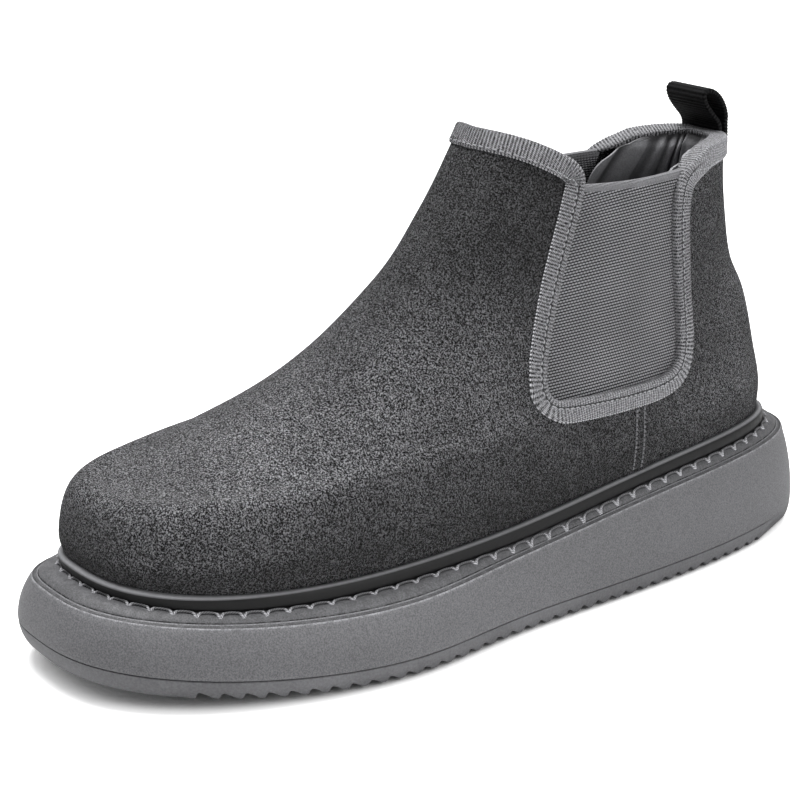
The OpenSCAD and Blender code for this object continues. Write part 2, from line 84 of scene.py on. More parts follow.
RISE = 2.9
GORE_FLOOR = 0.318


def soft(t):
    return t / np.sqrt(1 + t * t)


def ring(v):
    t = np.asarray(v, float) * LAST
    i = np.clip(np.floor(t), 0, LAST - 1).astype(int)
    f = (t - i)[..., None]
    a, b, c, d = (EXTENDED[i + k] for k in range(4))
    return 0.5 * (2 * b + (c - a) * f + (2 * a - 5 * b + 4 * c - d) * f * f
                  + (3 * b - a - 3 * c + d) * f ** 3)


def face(u, v):
    u, v = np.broadcast_arrays(np.asarray(u, float), np.asarray(v, float))
    q = ring(v)
    c, s = np.cos(np.radians(u)), np.sin(np.radians(u))
    s = np.where(np.abs(s) < 1e-9, 0, s)
    m = (1 - c) / 2
    w = np.where(s >= 0, q[..., 4] + q[..., 5] * c + q[..., 6] * c * c,
                 q[..., 7] + q[..., 8] * c + q[..., 9] * c * c)
    x = np.sign(s) * np.abs(s) ** q[..., 10] * w + q[..., 11] * np.maximum(c, 0) ** 2
    y = q[..., 0] + (q[..., 2] - q[..., 0]) * m
    z = q[..., 1] + (q[..., 3] - q[..., 1]) * m
    return np.stack([x, y, z], -1)


def unit(a):
    return a / np.maximum(np.linalg.norm(a, axis=-1, keepdims=True), 1e-12)


def normal(u, v):
    return unit(np.cross(face(u + 2, v) - face(u - 2, v), face(u, v + 0.012) - face(u, v - 0.012)))


def layer(u, v, d):
    u, v, d = np.broadcast_arrays(np.asarray(u, float), np.asarray(v, float), np.asarray(d, float))
    return face(u, v) + normal(u, v) * d[..., None]


def from_side(y, z):
    y, z = np.broadcast_arrays(np.asarray(y, float), np.asarray(z, float))
    a, b = np.full(y.shape, -0.1), np.full(y.shape, 1.1)
    for _ in range(30):
        v = (a + b) / 2
        q = ring(v)
        m = np.clip((y - q[..., 0]) / (q[..., 2] - q[..., 0]), 0, 1)
        high = q[..., 1] + (q[..., 3] - q[..., 1]) * m > z
        b, a = np.where(high, v, b), np.where(high, a, v)
    q = ring(v)
    m = np.clip((y - q[..., 0]) / (q[..., 2] - q[..., 0]), 0, 1)
    return np.degrees(np.arccos(1 - 2 * m)), v


def arc_points(p, n):
    out = []
    for i in range(len(p) - 2):
        a, c = (p[i] + p[i + 1]) / 2, (p[i + 1] + p[i + 2]) / 2
        for k in range(n):
            t = k / n
            out.append((1 - t) ** 2 * a + 2 * t * (1 - t) * p[i + 1] + t * t * c)
    return np.array(out)


curve = arc_points(GORE_EDGE, 12)
cu, cv = from_side(curve[:, 0], curve[:, 1])
us, vs, ue, ve = cu[0], cv[0], cu[-1], cv[-1]
front_u = us * np.arange(60) / 60
back_u = ue + (180 - ue) * np.arange(1, 61) / 60
PATH = np.concatenate([
    np.stack([front_u, 1 - (1 - vs) * (front_u / us) ** 3.2], -1),
    np.stack([cu, cv], -1),
    np.stack([back_u, ve + (1.006 - ve) * (1 - ((180 - back_u) / (180 - ue)) ** 3)], -1)])
side_points = face(PATH[:, 0], PATH[:, 1])
low_front = int(np.argmin(np.where(side_points[:, 1] < 40, side_points[:, 2], 1e9)))
FRONT_EDGE = np.array(sorted((v, u) for u, v in PATH[:200] if u < 101 and v > 0.325 and True))
is_back = (side_points[:, 1] > 62) & (PATH[:, 0] > 101.5) & (PATH[:, 1] > 0.31)
BACK_EDGE = np.array(sorted((v, u) for (u, v), b in zip(PATH, is_back) if b))


def front_edge(v):
    return np.interp(v, FRONT_EDGE[:, 0], FRONT_EDGE[:, 1])


def back_edge(v):
    return np.interp(v, BACK_EDGE[:, 0], BACK_EDGE[:, 1])


def seam(v):
    v = np.asarray(v, float)
    a, b = np.full(v.shape, 80.0), np.full(v.shape, 150.0)
    for _ in range(24):
        m = (a + b) / 2
        p = face(m, v)
        past = p[..., 1] > 58.0 - 0.08 * (62 - p[..., 2])
        b, a = np.where(past, m, b), np.where(past, a, m)
    return m


def spring(y):
    return TOE_SPRING * np.clip((-y - 45) / 105, 0, 1.2) ** 2


def ledge_z(y):
    return 28.7 + 7.4 * soft((y - 27) / 62) + spring(y)


def seat_z(y):
    return ledge_z(y) + RISE


def outline(a, t):
    a, t = np.broadcast_arrays(np.asarray(a, float), np.asarray(t, float))
    c, s = np.cos(np.radians(a)), np.sin(np.radians(a))
    s = np.where(np.abs(s) < 1e-9, 0, s)
    w = np.where(s >= 0, 63.5 + 10.5 * soft((c - 0.2) / 0.25),
                 50 + 5 * soft((c - 0.15) / 0.3) - 2 * (1 - c * c) ** 2)
    return np.stack([np.sign(s) * np.abs(s) ** 0.72 * w * (1 - t / 58), -HALF * c * (1 - t / HALF)], -1)


def base_v(u, h):
    u = np.asarray(u, float)
    a, b = np.full(u.shape, -0.2), np.full(u.shape, 0.3)
    for _ in range(24):
        m = (a + b) / 2
        p = face(u, m)
        high = p[..., 2] > seat_z(p[..., 1]) + h
        b, a = np.where(high, m, b), np.where(high, a, m)
    return m


def ramp(x, a, b):
    t = np.clip((x - a) / (b - a), 0, 1)
    return t * t * (3 - 2 * t)


def drift(points, size, seed):
    """Smooth random field, about -1 to 1, over points in mm."""
    flat = points.reshape(-1, 3) / size
    off = Vector((seed * 7.3, seed * 3.1, seed * 5.7))
    out = np.array([noise.noise(Vector(p) + off) for p in flat])
    return out.reshape(points.shape[:-1])


# ------------------------------------------------------------------ mesh tools
def mesh(name, points, faces, material, fab=None, smooth=True):
    data = bpy.data.meshes.new(name)
    data.from_pydata((np.asarray(points).reshape(-1, 3) * MM).tolist(), [], [list(f) for f in faces])
    if fab is not None:
        a = data.attributes.new("fab", "FLOAT_VECTOR", "POINT")
        a.data.foreach_set("vector", np.asarray(fab, np.float32).reshape(-1))
    data.materials.append(material)
    data.validate()
    data.update()
    if smooth:
        data.shade_smooth()
    o = bpy.data.objects.new(name, data)
    bpy.context.scene.collection.objects.link(o)
    return o


def fix_normals(o):
    import bmesh
    bm = bmesh.new()
    bm.from_mesh(o.data)
    bmesh.ops.recalc_face_normals(bm, faces=bm.faces)
    bm.to_mesh(o.data)
    bm.free()
    return o


def grid_faces(m, n, base=0, wrap=False, flip=False):
    i, j = np.meshgrid(np.arange(m - 1), np.arange(n if wrap else n - 1), indexing="ij")
    a = base + i * n + j
    b = base + i * n + (j + 1) % n
    f = np.stack([a, b, b + n, a + n], -1).reshape(-1, 4)
    return f[:, ::-1] if flip else f


def shell(name, outer, inner, material, fab=None):
    """Closed sheet between two m x n grids of points."""
    m, n = outer.shape[:2]
    k = m * n
    f = [grid_faces(m, n), grid_faces(m, n, k, flip=True)]
    j = np.arange(n - 1)
    t = (m - 1) * n + j
    i = np.arange(m - 1) * n
    f.append(np.stack([j + 1, j, j + k, j + 1 + k], -1))
    f.append(np.stack([t, t + 1, t + 1 + k, t + k], -1))
    f.append(np.stack([i, i + n, i + n + k, i + k], -1))
    e = i + n - 1
    f.append(np.stack([e + n, e, e + k, e + n + k], -1))
    pts = np.concatenate([outer.reshape(-1, 3), inner.reshape(-1, 3)])
    attr = None if fab is None else np.concatenate([fab.reshape(-1, 3)] * 2)
    return mesh(name, pts, np.concatenate(f), material, attr)


def tube(name, sections, material, closed=False, fab=None):
    """Solid through equal closed sections, m x k x 3, as a ring or with end caps."""
    m, k = sections.shape[:2]
    f = grid_faces(m, k, wrap=True).tolist()
    if closed:
        j = np.arange(k)
        a, b = (m - 1) * k, 0
        f += np.stack([a + j, a + (j + 1) % k, b + (j + 1) % k, b + j], -1).tolist()
    else:
        f += [list(range(k))[::-1], [(m - 1) * k + j for j in range(k)]]
    return fix_normals(mesh(name, sections, f, material, fab))


def stack(name, loops, material, fab=None):
    """Solid through loops, m x n x 3, closed straight across at both ends."""
    m, n = loops.shape[:2]
    f = grid_faces(m, n, wrap=True).tolist()
    for base in (0, (m - 1) * n):
        for j in range(n // 2):
            q = [j, j + 1, n - j - 1, (n - j) % n]
            q = list(dict.fromkeys(q))
            if len(q) > 2:
                f.append([base + x for x in q])
    return fix_normals(mesh(name, loops, f, material, fab))


def along(points):
    return np.concatenate([[0], np.cumsum(np.linalg.norm(np.diff(points, axis=0), axis=1))])


# ------------------------------------------------------------------- materials
class Paint:
    """Small helper to write a node material."""

    def __init__(self, name):
        self.m = bpy.data.materials.new(name)
        self.m.use_nodes = True
        self.t = self.m.node_tree
        self.n = self.t.nodes
        self.bsdf = self.n["Principled BSDF"]

    def add(self, kind, inputs=None, **props):
        x = self.n.new(kind)
        for k, v in props.items():
            setattr(x, k, v)
        for k, v in (inputs or {}).items():
            self.put(x.inputs[k], v)
        return x

    def put(self, socket, v):
        if hasattr(v, "is_output") or isinstance(v, bpy.types.NodeSocket):
            self.t.links.new(v, socket)
        elif isinstance(v, bpy.types.Node):
            self.t.links.new(v.outputs[0], socket)
        else:
            socket.default_value = v

    def math(self, op, a, b=0.0, clamp=False):
        x = self.add("ShaderNodeMath", operation=op, use_clamp=clamp)
        self.put(x.inputs[0], a)
        self.put(x.inputs[1], b)
        return x.outputs[0]

    def noise(self, scale, detail=2.0, rough=0.5, vector=None, distortion=0.0):
        x = self.add("ShaderNodeTexNoise", {"Scale": scale, "Detail": detail, "Roughness": rough,
                                            "Distortion": distortion})
        self.put(x.inputs["Vector"], vector if vector is not None else self.where())
        return x.outputs["Fac"]

    def where(self):
        if not hasattr(self, "_where"):
            self._where = self.add("ShaderNodeTexCoord").outputs["Object"]
        return self._where

    def fab(self):
        """Distances along and across the cloth, in mm."""
        if not hasattr(self, "_fab"):
            a = self.add("ShaderNodeAttribute", attribute_name="fab")
            s = self.add("ShaderNodeSeparateXYZ")
            self.put(s.inputs[0], a.outputs["Vector"])
            self._fab = (s.outputs[0], s.outputs[1])
        return self._fab

    def fab_z(self):
        a = self.add("ShaderNodeAttribute", attribute_name="fab")
        s = self.add("ShaderNodeSeparateXYZ")
        self.put(s.inputs[0], a.outputs["Vector"])
        return s.outputs[2]

    def mix(self, fac, a, b):
        x = self.add("ShaderNodeMix", data_type="RGBA")
        self.put(x.inputs["Factor"], fac)
        self.put(x.inputs[6], a)
        self.put(x.inputs[7], b)
        return x.outputs[2]

    def span(self, x, a, b, c, d):
        r = self.add("ShaderNodeMapRange", {"From Min": a, "From Max": b, "To Min": c, "To Max": d})
        self.put(r.inputs["Value"], x)
        return r.outputs[0]

    def wave(self, x, pitch, power=1.0):
        """0 to 1 ripple of the given pitch."""
        s = self.math("SINE", self.math("MULTIPLY", x, 2 * math.pi / pitch))
        return self.math("POWER", self.math("MULTIPLY_ADD", s, 0.5), power) if False else \
            self.math("POWER", self.math("ADD", self.math("MULTIPLY", s, 0.5), 0.5), power)

    def bump(self, height, strength, distance, under=None):
        x = self.add("ShaderNodeBump", {"Strength": strength, "Distance": distance})
        self.put(x.inputs["Height"], height)
        if under is not None:
            self.put(x.inputs["Normal"], under)
        return x.outputs[0]

    def done(self, color, rough, normal=None, **extra):
        self.put(self.bsdf.inputs["Base Color"], color)
        self.put(self.bsdf.inputs["Roughness"], rough)
        if normal is not None:
            self.put(self.bsdf.inputs["Normal"], normal)
        for k, v in extra.items():
            self.put(self.bsdf.inputs[k.replace("_", " ")], v)
        return self.m


def grey(v, warm=0.0):
    return (v * (1 + warm), v, v * (1.05 - warm), 1)


def suede_material(name, base=0.078):
    """Brushed suede: short bright fibres over dark pits, with painted light that makes it lighter where the surface
    faces up and towards the back, and painted shade on the upper shaft.
    """
    p = Paint(name)
    hair = p.noise(980, 2, 0.6, distortion=1.6)
    fibre = p.span(p.math("ABSOLUTE", p.math("SUBTRACT", hair, 0.5)), 0.0, 0.045, 1.0, 0.0)
    fine = p.noise(1900, 2, 0.6)
    patch = p.noise(38, 4, 0.6)
    cloud = p.noise(14, 2, 0.5)
    grain = p.math("ADD", p.math("MULTIPLY", fibre, 0.45), p.math("MULTIPLY", p.span(fine, 0.38, 0.62, 0.0, 1.0), 0.55))
    tint = p.mix(p.span(grain, 0.3, 0.74, 0.0, 1.0), grey(base * 0.02), grey(base * 3.5))
    mottle = p.span(p.math("ADD", p.math("MULTIPLY", patch, 0.5), p.math("MULTIPLY", cloud, 0.5)),
                    0.4, 0.6, 0.8, 1.25)
    # painted light: the suede is made lighter the more its surface faces up
    up = p.add("ShaderNodeSeparateXYZ")
    p.put(up.inputs[0], p.add("ShaderNodeNewGeometry").outputs["Normal"])
    place = p.add("ShaderNodeSeparateXYZ", {0: p.where()})
    # painted shade: mask for the shaft above about 85 mm, except at the back, which is darkened to as little as half
    shaft = p.math("MULTIPLY", p.span(place.outputs[2], 0.085, 0.125, 0.0, 1.0), p.span(place.outputs[1], 0.07, 0.03, 0.0, 1.0))
    # painted light: the suede gets up to 1.35 times brighter towards the back of the boot
    back = p.span(place.outputs[1], 0.07, 0.11, 1.0, 1.35)
    painted_light_and_shade = p.math("MULTIPLY", p.span(up.outputs[2], -0.1, 0.95, 0.8, 2.9), p.span(shaft, 0.0, 1.0, 1.0, 0.5))
    shade = p.add("ShaderNodeVectorMath", operation="SCALE")
    p.put(shade.inputs[0], tint)
    p.put(shade.inputs["Scale"], p.math("MULTIPLY", p.math("MULTIPLY", mottle, back), painted_light_and_shade))
    n = p.bump(grain, 1.0, 0.0014)
    rough = p.span(patch, 0.3, 0.7, 0.84, 0.97)
    return p.done(shade.outputs[0], rough, n, Sheen_Weight=0.08, Sheen_Roughness=0.4,
                  Specular_IOR_Level=0.12)


def smooth_material(name, base, rough, grain=700, depth=0.15, spread=0.12, speck=0.0, spec=0.4):
    p = Paint(name)
    g = p.noise(grain, 3, 0.6)
    big = p.noise(30, 3, 0.55)
    k = p.span(p.math("ADD", p.math("MULTIPLY", g, 0.5), p.math("MULTIPLY", big, 0.5)),
               0.35, 0.65, 0.0, 1.0)
    c = p.mix(k, grey(base * (1 - spread)), grey(base * (1 + spread)))
    if speck:
        s = p.add("ShaderNodeTexVoronoi", {"Scale": 1500.0, "Vector": p.where()})
        dots = p.span(s.outputs["Distance"], 0.12, 0.3, 1.0, 0.0)
        rare = p.span(p.noise(1100, 1, 0.5), 0.55, 0.7, 0.0, 1.0)
        c = p.mix(p.math("MULTIPLY", p.math("MULTIPLY", dots, rare), speck), c, grey(base * 2.6))
    r = p.span(big, 0.3, 0.7, rough - 0.06, rough + 0.06)
    return p.done(c, r, p.bump(g, depth, 0.0004), Specular_IOR_Level=spec)


def foam_material(name, base):
    """Moulded foam with a fine speckle; fab.x is the inset from the edge, which places painted highlights on the
    ledge's shoulder edge and painted shade in its grooves.
    """
    p = Paint(name)
    t, _ = p.fab()
    g = p.noise(2100, 2, 0.7)
    big = p.noise(26, 3, 0.55)
    c = p.mix(p.span(g, 0.36, 0.64, 0.0, 1.0), grey(base * 0.7), grey(base * 1.32))
    # painted light and shade by inset: bright stops are painted highlights on the shoulder edge and on the rim before
    # the inner groove, dark stops are painted shade in the grooves, between the fine ribs and over the ledge band
    painted_ledge_light_shade = p.add("ShaderNodeValToRGB")
    r = painted_ledge_light_shade.color_ramp
    stops = [(3.1, 1.0), (3.45, 1.15), (3.6, 1.9), (3.85, 1.9), (3.95, 0.3), (4.15, 0.3), (4.25, 0.85), (4.5, 0.6), (4.7, 0.85), (4.9, 0.55),
             (5.05, 0.85), (5.2, 0.55), (5.35, 1.5), (5.55, 1.6), (5.62, 0.25), (5.86, 0.25), (5.95, 0.85), (6.7, 0.8), (7.6, 0.75)]
    while len(r.elements) > 1:
        r.elements.remove(r.elements[-1])
    r.elements[0].position, r.elements[0].color = 0.0, (0.5, 0.5, 0.5, 1)
    for at, v in stops:
        e = r.elements.new(at / 10)
        e.color = (v / 2, v / 2, v / 2, 1)
    p.put(painted_ledge_light_shade.inputs[0], p.math("DIVIDE", t, 10.0))
    shade = p.add("ShaderNodeVectorMath", operation="SCALE")
    p.put(shade.inputs[0], c)
    # noise breaks up the painted highlights and shade along the sole
    painted_ledge_light_shade_broken = p.math("MULTIPLY", p.math("SUBTRACT", p.math("MULTIPLY", painted_ledge_light_shade.outputs[0], 2.0), 1.0), p.span(p.noise(420, 2, 0.6), 0.4, 0.55, 0.5, 1.3))
    p.put(shade.inputs["Scale"], p.math("MULTIPLY", p.math("ADD", painted_ledge_light_shade_broken, 1.0), p.span(big, 0.35, 0.65, 0.94, 1.06)))
    return p.done(shade.outputs[0], p.span(big, 0.3, 0.7, 0.5, 0.62), p.bump(g, 0.25, 0.0004), Specular_IOR_Level=0.35)


def rand_material(name):
    """Black rubber strip with a painted highlight along its top edge; fab.x runs over the strip from its top."""
    p = Paint(name)
    t, _ = p.fab()
    g = p.noise(500, 3, 0.6)
    # painted highlight: pale band along the top edge of the strip
    edge = p.span(t, 0.2, 0.75, 1.0, 0.0)
    c = p.mix(edge, grey(0.005), grey(0.3))
    c = p.mix(p.span(g, 0.35, 0.65, 0.0, 0.15), c, grey(0.02))
    return p.done(c, p.span(g, 0.3, 0.7, 0.46, 0.58), p.bump(g, 0.08, 0.0003), Specular_IOR_Level=0.3)


def ribbed_material(name, low, high, pitch, rough=0.72, fleck=0.25, beads=(), groove=0.0, shine=0.25):
    """Ribbon with ribs across it; the ribs themselves are in the mesh."""
    p = Paint(name)
    s, t = p.fab()
    rib = p.wave(s, pitch, 1.3)
    yarn = p.wave(p.math("ADD", t, p.math("MULTIPLY", s, 0.35)), pitch * 0.5, 1.0)
    fluff = p.span(p.noise(1700, 3, 0.6), 0.35, 0.65, 0.0, 1.0)
    k = p.math("ADD", p.math("MULTIPLY", rib, 1 - fleck), p.math("MULTIPLY", p.math("MULTIPLY", yarn, fluff), fleck * 1.5))
    c = p.mix(p.span(k, 0.1, 0.9, 0, 1), grey(low), grey(high))
    if groove:
        # painted shade: a dark stripe along the ribbon at the given groove inset, only where it runs beside the gore
        groove_shade = p.span(p.math("ABSOLUTE", p.math("SUBTRACT", t, groove)), 0.2, 0.5, 1.0, 0.0)
        c = p.mix(p.math("MULTIPLY", p.math("MULTIPLY", groove_shade, p.fab_z()), 0.85), c, grey(low))
    for at, wide in beads:
        near = p.span(p.math("ABSOLUTE", p.math("SUBTRACT", t, at)), wide * 0.4, wide, 1.0, 0.0)
        c = p.mix(p.math("MULTIPLY", near, p.span(rib, 0.3, 0.8, 0, 1)), c, grey(min(0.8, high * 1.7)))
    h = p.math("ADD", p.math("MULTIPLY", rib, 0.5), p.math("ADD", p.math("MULTIPLY", yarn, 0.35), p.math("MULTIPLY", fluff, 0.25)))
    return p.done(c, rough, p.bump(h, 0.7, 0.0003), Sheen_Weight=shine * 0.2,
                  Specular_IOR_Level=shine)


def gore_material(name):
    """Woven elastic: staggered short loops in rows."""
    p = Paint(name)
    s, t = p.fab()
    row = 1.02
    col = 1.25
    r = p.math("DIVIDE", t, row)
    odd = p.math("MULTIPLY", p.math("MODULO", p.math("FLOOR", r), 2.0), col / 2)
    across = p.wave(p.math("ADD", s, odd), col, 0.9)
    up = p.wave(p.math("ADD", t, -row / 4), row, 0.75)
    loop = p.math("MULTIPLY", p.math("ADD", p.math("MULTIPLY", across, 0.62), 0.38), up)
    fuzz = p.noise(2300, 3, 0.65)
    vary = p.noise(60, 2, 0.5)
    k = p.math("ADD", p.math("MULTIPLY", loop, 0.8), p.math("MULTIPLY", fuzz, 0.2))
    hem = p.span(p.fab_z(), 0.8, 0.5, 0.0, 1.0)
    c = p.mix(p.span(k, 0.24, 0.62, 0, 1), grey(0.002), grey(0.33))
    c = p.mix(hem, c, p.mix(fuzz, grey(0.08), grey(0.3)))
    shade = p.add("ShaderNodeVectorMath", operation="SCALE")
    p.put(shade.inputs[0], c)
    p.put(shade.inputs["Scale"], p.span(vary, 0.3, 0.7, 0.9, 1.1))
    return p.done(shade.outputs[0], 0.8, p.bump(k, 0.8, 0.00045), Sheen_Weight=0.12, Specular_IOR_Level=0.2)


def thread_material(name, base, pitch=0.9, midway_tone=1.0):
    """Twisted thread; fab.z is 1 at the holes and 0 midway; a painted highlight makes the thread brighter near the
    holes than midway.
    """
    p = Paint(name)
    s, t = p.fab()
    hole_highlight = p.fab_z()
    twist = p.wave(p.math("ADD", s, p.math("MULTIPLY", t, 0.8)), pitch, 0.8)
    c = p.mix(twist, grey(base * 0.4), grey(base * 1.3))
    # painted highlight: the thread is bright near the holes and much darker midway
    c = p.mix(hole_highlight, p.mix(twist, grey(base * 0.25 * midway_tone), grey(base * midway_tone)), c)
    return p.done(c, 0.55, p.bump(twist, 0.5, 0.0002), Specular_IOR_Level=0.35)


def leather_material(name, base):
    p = Paint(name)
    cells = p.add("ShaderNodeTexVoronoi", {"Scale": 1150.0, "Vector": p.where()}, feature="DISTANCE_TO_EDGE")
    crack = p.span(cells.outputs["Distance"], 0.0, 0.12, 0.0, 1.0)
    g = p.noise(600, 4, 0.6)
    c = p.mix(p.math("MULTIPLY", crack, g), grey(base * 0.7), grey(base * 1.3))
    # painted shade: the lining darkens where it stands in less than 2.6 mm (fab.z is the fold lift), fully below 1 mm,
    # so the fold troughs and flat lining are dark and only the fold ridges keep the leather's own tone
    c = p.mix(p.span(p.fab_z(), -2.6, -1.0, 0.0, 0.93), c, grey(base * 0.06))
    h = p.math("ADD", p.math("MULTIPLY", crack, 0.6), p.math("MULTIPLY", g, 0.5))
    return p.done(c, p.span(g, 0.3, 0.7, 0.42, 0.58), p.bump(h, 0.35, 0.0003), Specular_IOR_Level=0.5)


def weave_material(name, base, pitch=0.8):
    p = Paint(name)
    x = p.add("ShaderNodeSeparateXYZ", {0: p.where()})
    a = p.wave(x.outputs[1], pitch * MM, 1)
    b = p.wave(x.outputs[0], pitch * MM, 1)
    h = p.math("MAXIMUM", a, b)
    f = p.noise(1500, 2, 0.6)
    k = p.math("MULTIPLY", h, p.span(f, 0.3, 0.7, 0.6, 1.0))
    return p.done(p.mix(k, grey(base * 0.5), grey(base * 1.4)), 0.88, p.bump(k, 0.5, 0.0003), Sheen_Weight=0.1)


def board_material(name, rgb, rough=0.85, scale=500, metal=0.0):
    p = Paint(name)
    g = p.noise(scale, 4, 0.65)
    dark = tuple(0.6 * c for c in rgb) + (1,)
    light = tuple(min(1, 1.25 * c) for c in rgb) + (1,)
    r = p.span(g, 0.3, 0.7, rough - 0.08, min(1.0, rough + 0.08))
    return p.done(p.mix(p.span(g, 0.3, 0.7, 0, 1), dark, light), r, p.bump(g, 0.4, 0.0004), Metallic=metal)


suede = suede_material("suede")
suede_cut = smooth_material("suede_edge", 0.05, 0.95, grain=1500, depth=0.5, spread=0.4)
foam = foam_material("midsole_foam", 0.138)
rubber = smooth_material("outsole_rubber", 0.135, 0.6, grain=1300, depth=0.2, spread=0.3)
rand_skin = rand_material("rand_rubber")
webbing = ribbed_material("tab_webbing", 0.001, 0.02, 1.3, fleck=0.45, shine=0.06)
gore_cloth = gore_material("gore_elastic")
# strong painted highlight at the stitch holes; midway the thread is painted far darker
welt_thread = thread_material("welt_thread", 0.62, midway_tone=0.3)
fine_thread = thread_material("fine_thread", 0.5, 0.5)
seam_thread = thread_material("seam_thread", 0.3, 0.5)
lining_leather = leather_material("leather_lining", 0.36)
lining_cloth = weave_material("textile_lining", 0.12)
footbed_cloth = weave_material("footbed_cover", 0.05, 1.0)

# ----------------------------------------------------------------------- upper
HANDED = {"boot": "boot", "front": "front_shaft"}
line = np.array([16.0 - 77.0, 72.0 - 139.0])
out = np.array([line[1], -line[0]]) / np.linalg.norm(line)
far = np.array([37.0, 139.0]) - np.array([77.0, 139.0])
if far @ out < 0:
    out = -out


def spread(n, margin):
    """0 to 1 with a few close steps at each end, for rolled edges."""
    t = np.linspace(0, 1, n)
    tight = np.array([0, 0.12, 0.35, 0.7]) * margin
    return np.concatenate([tight, margin + (1 - 2 * margin) * t, 1 - tight[::-1]])


def panel(name, levels, reach_lo, reach_hi, columns, top, bottom, material, lift=None, waves=0.0, edge=0.35,
          bottom_row=None, seed=1):
    """Sheet over rows of constant v, from reach_lo(v) to reach_hi(v) in u."""
    s = spread(columns, 0.004)
    v = np.asarray(levels)[:, None] + np.zeros((1, len(s)))
    u = np.stack([lo + (hi - lo) * s for lo, hi in ((reach_lo(x), reach_hi(x)) for x in levels)])
    if bottom_row is not None:
        first = base_v(u[0], bottom_row)
        k = ramp(v, v[0, 0], 0.16)
        v = first[None, :] + (v - v[0, 0]) * (0.16 - first[None, :]) / (0.16 - v[0, 0]) * (1 - 0) \
            if False else np.where(v < 0.16, first[None, :] + (v - v[0, 0]) / (0.16 - v[0, 0]) * (0.16 - first[None, :]), v)
    d = np.full(u.shape, float(top))
    if lift is not None:
        d = d + lift(u, v)
    rolled = np.minimum(s, 1 - s) / 0.004
    d = d - edge * (1 - np.sqrt(np.clip(1 - (1 - np.clip(rolled, 0, 1)) ** 2, 0, 1)))[None, :]
    if waves:
        d = d + waves * drift(face(u, v), 26.0, seed)
    outer = layer(u, v, d)
    thick = bottom - top
    inner = layer(u, v, d + thick)
    su = np.concatenate([np.zeros((len(levels), 1)), np.cumsum(np.linalg.norm(np.diff(outer, axis=1), axis=2), axis=1)], 1)
    sv = np.concatenate([np.zeros((1, len(s))), np.cumsum(np.linalg.norm(np.diff(outer, axis=0), axis=2), axis=0)], 0)
    # fab.z holds the lift; the lining leather uses it for painted shade in the fold troughs
    depth = np.zeros_like(su) if lift is None else np.asarray(lift(u, v)) + np.zeros_like(su)
    return fix_normals(shell(name, outer, inner, material, np.stack([su, sv, depth], -1)))


VAMP_SEAM_EXTRA = 1.1
vamp_lower = np.linspace(0.0, GORE_FLOOR, 50)
vamp_upper = np.concatenate([np.linspace(0.33, 0.9, 80), 1 - (1 - 0.902) * (1 - np.linspace(0, 1, 40)[1:]) ** 1.6])
vamp_levels = np.concatenate([vamp_lower, vamp_upper[vamp_upper < 0.9995]])


def vamp_reach(v):
    return float(seam(v)) + VAMP_SEAM_EXTRA if v <= GORE_FLOOR else float(front_edge(v))


def vamp_lift(u, v):
    """The vamp rides over the quarter along the side seam."""
    edge = np.array([vamp_reach(x) for x in v[:, u.shape[1] // 2]])[:, None]
    near = ramp(edge - np.abs(u), 9.0, 2.0)
    return 0.95 * near * (1 - ramp(v, 0.21, 0.28))


vamp = panel("vamp", vamp_levels, lambda v: -vamp_reach(v), vamp_reach, 230, 0.0, -SUEDE, suede,
             lift=vamp_lift, waves=0.3, bottom_row=0.3, seed=3)
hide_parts("vamp", "vamp_shaft")
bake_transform(vamp)

back_top = 1.0055
quarter_levels = np.concatenate([np.linspace(0.0, GORE_FLOOR, 40), np.linspace(0.33, 0.9, 70),
                                 back_top - (back_top - 0.902) * (1 - np.linspace(0, 1, 34)[1:-1]) ** 1.5])


def quarter_reach(v):
    return float(seam(v)) - 3.0 if v <= GORE_FLOOR else float(back_edge(v))


def quarter_lift(u, v):
    edge = seam(v)
    from_seam = np.minimum(u, 360 - u) - edge
    return -0.5 * ramp(from_seam, 2.0, 0.5) * (1 - ramp(v, 0.27, 0.33))


quarter = panel("quarter", quarter_levels, quarter_reach, lambda v: 360 - quarter_reach(v), 150, 0.0, -SUEDE,
                suede, lift=quarter_lift, waves=0.25, bottom_row=0.3, seed=5)
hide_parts("quarter")
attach(quarter, "boot")

lining_levels = vamp_levels[::3]
vamp_lining = panel("vamp_lining", lining_levels, lambda v: -vamp_reach(v) + 1.0, lambda v: vamp_reach(v) - 1.0, 70,
                    LINING_TOP, LINING_BOTTOM, lining_cloth, waves=0.3, bottom_row=0.4, edge=0.1, seed=8)
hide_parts("vamp_lining", "shaft_lining")
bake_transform(vamp_lining)


def folds(u, v):
    """Soft upright folds of the padded lining inside the back collar."""
    top = ramp(v, 0.72, 0.9)
    back = ramp(np.abs(u - 180), 80, 70)
    a = np.radians(u)
    w = 0.5 + 0.5 * np.sin(a * 31 + 1.5 * np.sin(a * 7) + v * 9)
    fine = 0.5 + 0.5 * np.sin(a * 67 + 2.0 + v * 24 + 1.5 * np.sin(a * 11))
    pad = -1.1 * ramp(v, 0.6, 0.85) * (1 - ramp(v, 0.95, 1.0))
    return back * (pad - top * (1.9 * w ** 0.6 + 0.5 * fine) * (1 - 0.6 * ramp(v, 0.95, 1.0)))


q_levels = quarter_levels[::2]
quarter_lining = panel("quarter_lining", q_levels, lambda v: quarter_reach(v) + (1.0 if v > GORE_FLOOR else 5.0),
                       lambda v: 360 - quarter_reach(v) - (1.0 if v > GORE_FLOOR else 5.0), 190, LINING_TOP, LINING_BOTTOM,
                       lining_leather, lift=folds, waves=0.25, bottom_row=0.4, edge=0.1, seed=9)
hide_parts("quarter_lining")
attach(quarter_lining, "boot")


